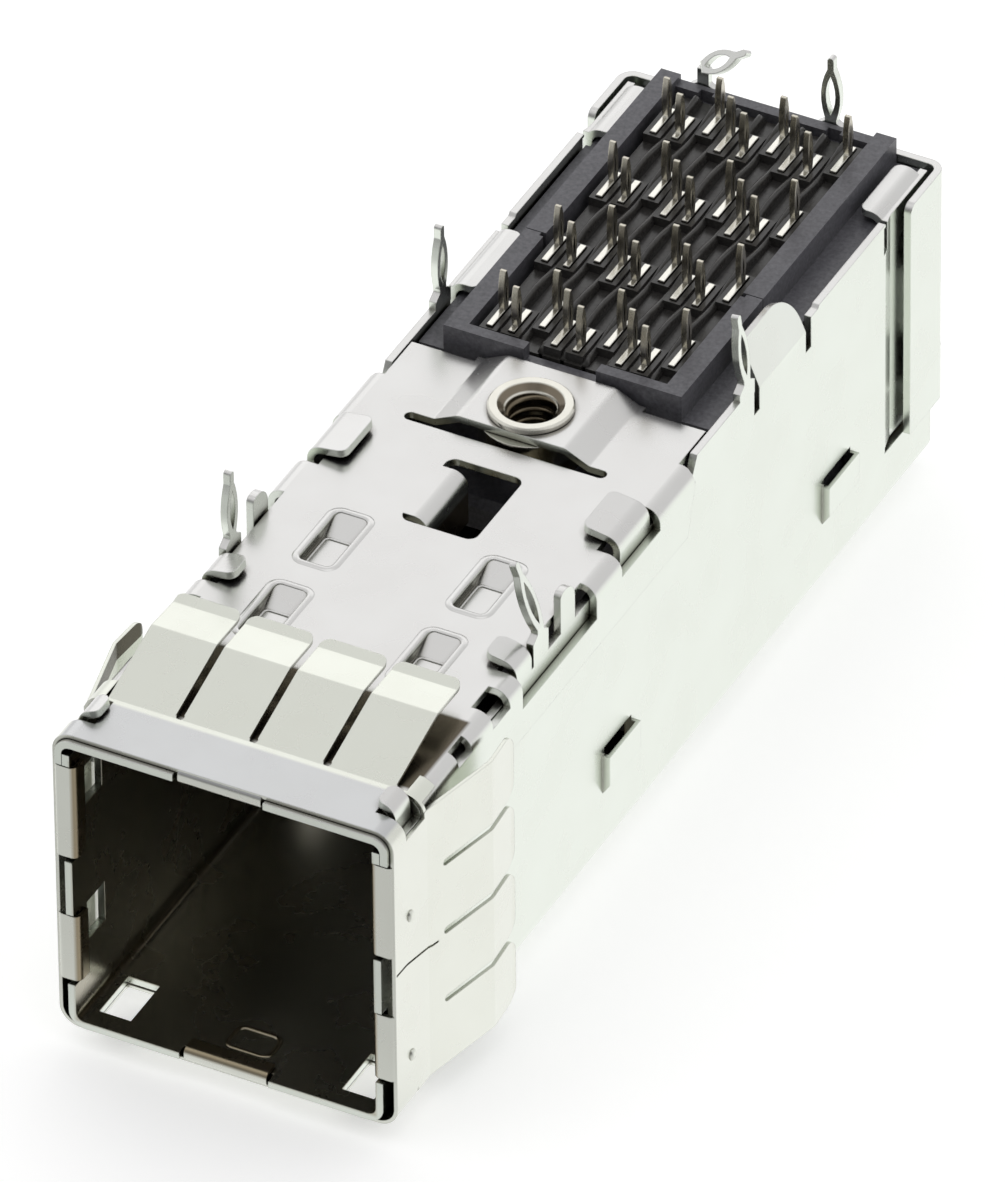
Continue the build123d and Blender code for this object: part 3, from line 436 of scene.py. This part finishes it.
# Ribs between the wafers, in mm
waferRibs = {
    "count": 8, "pitch": 0.75, "from": 4.4, "to": 18.3, "base": 12.1, "sunk": 0.06,
    "halfWidth": 0.15, "height": 0.36, "wave": 0.1, "rowPitch": 3.75, "rowStart": 4.955,
    "endRun": 0.25, "endPower": 0.5, "endLeast": 0.02, "steps": 112, "around": 9,
}


# Half-round bars along y. A bar's height is the mean height less the wave times the cosine of a
# full turn for each row pitch, so it swells between the rows of contacts. At both ends it sinks
# with a power of the way to the end.
def makeRibs(name, c):
    middles = (np.arange(c["count"]) - (c["count"] - 1) / 2) * c["pitch"]
    y = np.linspace(c["from"], c["to"], c["steps"])
    swell = c["height"] - c["wave"] * np.cos(2 * np.pi * (y - c["rowStart"]) / c["rowPitch"])
    inwards = np.minimum(y - c["from"], c["to"] - y) / c["endRun"]
    rise = np.clip(inwards, c["endLeast"], 1) ** c["endPower"]
    turn = np.linspace(0, np.pi, c["around"])
    across = np.concatenate([c["halfWidth"] * np.cos(turn), [-c["halfWidth"], c["halfWidth"]]])
    up = np.concatenate([np.sin(turn), [0.0, 0.0]])
    drop = np.concatenate([np.zeros(c["around"]), [c["sunk"], c["sunk"]]])
    z = c["base"] + (swell * rise)[:, None] * up[None, :] - drop[None, :]
    strips = [np.stack([
        np.broadcast_to(x + across, z.shape), np.broadcast_to(y[:, None], z.shape), z], axis=-1)
        for x in middles]
    return placePiece(name, strips, False, "wafer_plastic")


makeRibs("wafer_ribs", waferRibs)
print("nubs and ribs placed")

# Plain pale floor and soft studio light: an even tent, open and darker in front of the port,
# with one wide lamp behind the cage and one above it. Lamp sizes and places are in metres.
studio = {
    "floorMm": 1200.0, "floorColour": "#f2f2f2", "floorGlow": 0.42, "floorMirrored": 1.26,
    "frontRange": (-24.0, -14.0), "frontMirrored": 0.75,
    "world": "#ffffff", "worldStrength": 0.85,
    "darkSide": (0.25, -0.96, 0.1), "darkRange": (0.4, 0.85), "darkStrength": 0.22,
    "aim": (0, 0, 0.006),
    "lamps": (("softBack", (-0.55, 1.05, 0.62), (1.5, 0.7), 1.5),
              ("softTop", (0.1, -0.1, 1.3), (0.9, 0.9), 1.0)),
}


def makeStudio(c):
    half = c["floorMm"] / 2 * mm
    mesh = bpy.data.meshes.new("studioFloor")
    corners = [(-half, -half, 0), (half, -half, 0), (half, half, 0), (-half, half, 0)]
    mesh.from_pydata(corners, [], [(0, 1, 2, 3)])
    floor = bpy.data.objects.new("studioFloor", mesh)
    bpy.context.scene.collection.objects.link(floor)
    made, tree = newMaterial("paleFloor")
    path = addNode(tree, "ShaderNodeLightPath")
    white = srgb(c["floorColour"])
    matt = addNode(tree, "ShaderNodeBsdfDiffuse", {}, {"Color": white})
    glow = addNode(tree, "ShaderNodeEmission", {}, {"Color": white, "Strength": c["floorGlow"]})
    shown = addNode(tree, "ShaderNodeAddShader", {}, {0: matt.outputs[0], 1: glow.outputs[0]})
    # The table in front of the port is darker in mirror reflections than the rest
    split = addNode(tree, "ShaderNodeSeparateXYZ", {}, {
        "Vector": addNode(tree, "ShaderNodeTexCoord").outputs["Object"]}).outputs
    strength = remap(tree, split["Y"], [limit * mm for limit in c["frontRange"]], (
        c["frontMirrored"], c["floorMirrored"]), "SMOOTHSTEP")
    mirrored = addNode(tree, "ShaderNodeEmission", {}, {"Color": white, "Strength": strength})
    first = addNode(tree, "ShaderNodeMixShader", {}, {
        0: path.outputs["Is Glossy Ray"], 1: matt.outputs[0], 2: mirrored.outputs[0]})
    last = addNode(tree, "ShaderNodeMixShader", {}, {
        0: path.outputs["Is Camera Ray"], 1: first.outputs[0], 2: shown.outputs[0]})
    addNode(tree, "ShaderNodeOutputMaterial", {}, {"Surface": last.outputs[0]})
    floor.data.materials.append(made)
    world = bpy.data.worlds.new("studioWorld")
    bpy.context.scene.world = world
    world.use_nodes = True
    tree = world.node_tree
    tree.nodes.clear()
    # The open side of the tent, in front of the port, is darker than the rest
    toSky = addNode(tree, "ShaderNodeTexCoord").outputs["Generated"]
    toDark = computeVector(tree, "DOT_PRODUCT", toSky, c["darkSide"], "Value")
    level = remap(
        tree, toDark, c["darkRange"], (c["worldStrength"], c["darkStrength"]), "SMOOTHSTEP")
    sky = addNode(tree, "ShaderNodeBackground", {}, {
        "Color": srgb(c["world"]), "Strength": level})
    addNode(tree, "ShaderNodeOutputWorld", {}, {"Surface": sky.outputs[0]})


def addLamp(name, place, target, size, watts):
    data = bpy.data.lights.new(name, "AREA")
    data.shape = "RECTANGLE"
    data.size, data.size_y = size
    data.energy = watts
    lamp = bpy.data.objects.new(name, data)
    lamp.visible_camera = False
    bpy.context.scene.collection.objects.link(lamp)
    lamp.location = place
    lamp.rotation_euler = (Vector(target) - Vector(place)).to_track_quat("-Z", "Y").to_euler()


makeStudio(studio)
for name, place, size, watts in studio["lamps"]:
    addLamp(name, place, studio["aim"], size, watts)
bpy.context.scene.view_settings.view_transform = "Standard"
print("studio ready")
